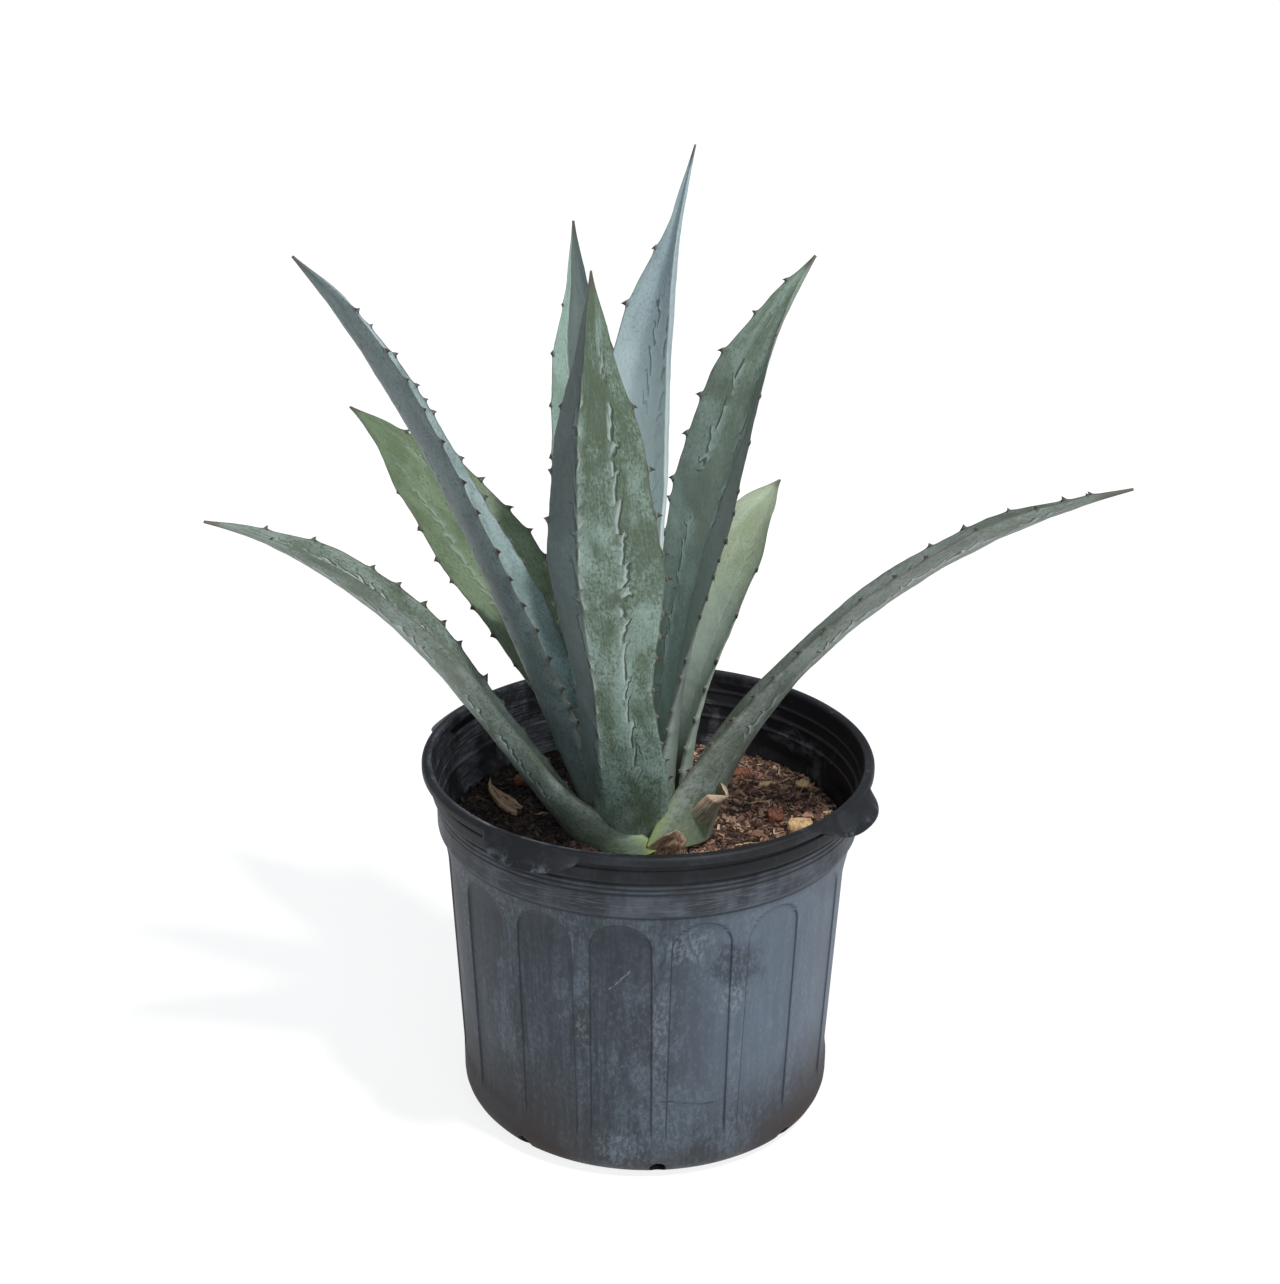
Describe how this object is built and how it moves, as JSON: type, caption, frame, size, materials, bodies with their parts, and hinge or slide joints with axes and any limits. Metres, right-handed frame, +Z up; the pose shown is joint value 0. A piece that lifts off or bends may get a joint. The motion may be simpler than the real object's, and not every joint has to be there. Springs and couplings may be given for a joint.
{
  "type": "potted agave",
  "caption": "Young blue agave rosette with upright, channelled, toothed leaves, growing in a round black nursery pot with grip tabs, sunk wall panels and drain holes.",
  "frame": {"origin": "centre of the pot's flat base, on the surface it stands on", "axes": "+Z up along the pot's axis; -Y to the front; +X to the right seen from the front"},
  "size_m": [0.5279, 0.3402, 0.6085],
  "materials": {
    "pot_plastic": "black moulded plastic, weathered blue-grey, dusty and scuffed",
    "leaf": "living agave leaf, waxy blue-green bloom over green, brown teeth and dark spine",
    "dried_leaf": "dried leaf tissue, papery straw brown",
    "stem": "pale green leaf-base tissue",
    "soil": "peat and composted pine bark, crumbly, dark brown",
    "pale_wood": "pale weathered wood chip",
    "bark": "reddish pine bark chip",
    "straw": "dry straw and root fibre"
  },
  "bodies": {
    "root": {"nursery_pot": "pot_plastic", "potting_mix": "soil", "stem": "stem", "leaf_spear": "leaf", "leaf_back": "leaf", "leaf_right_tall": "leaf", "leaf_front": "leaf", "leaf_right_back": "leaf", "leaf_left_tall": "leaf", "leaf_left_back": "leaf", "leaf_right_low": "leaf", "leaf_left_low": "leaf", "old_leaf_stump": "dried_leaf", "torn_leaf_stub": "dried_leaf", "dried_leaf_curl": "dried_leaf", "pale_wood_chip": "pale_wood", "pale_wood_flake": "pale_wood", "pale_wood_flake_far": "pale_wood", "bark_chip_right": "bark", "bark_chip_far": "bark", "bark_chip_back": "bark", "bark_chip_left": "bark", "bark_chip_front": "bark", "straw_right": "straw", "straw_front_right": "straw", "straw_left": "straw"}
  },
  "joints": []
}
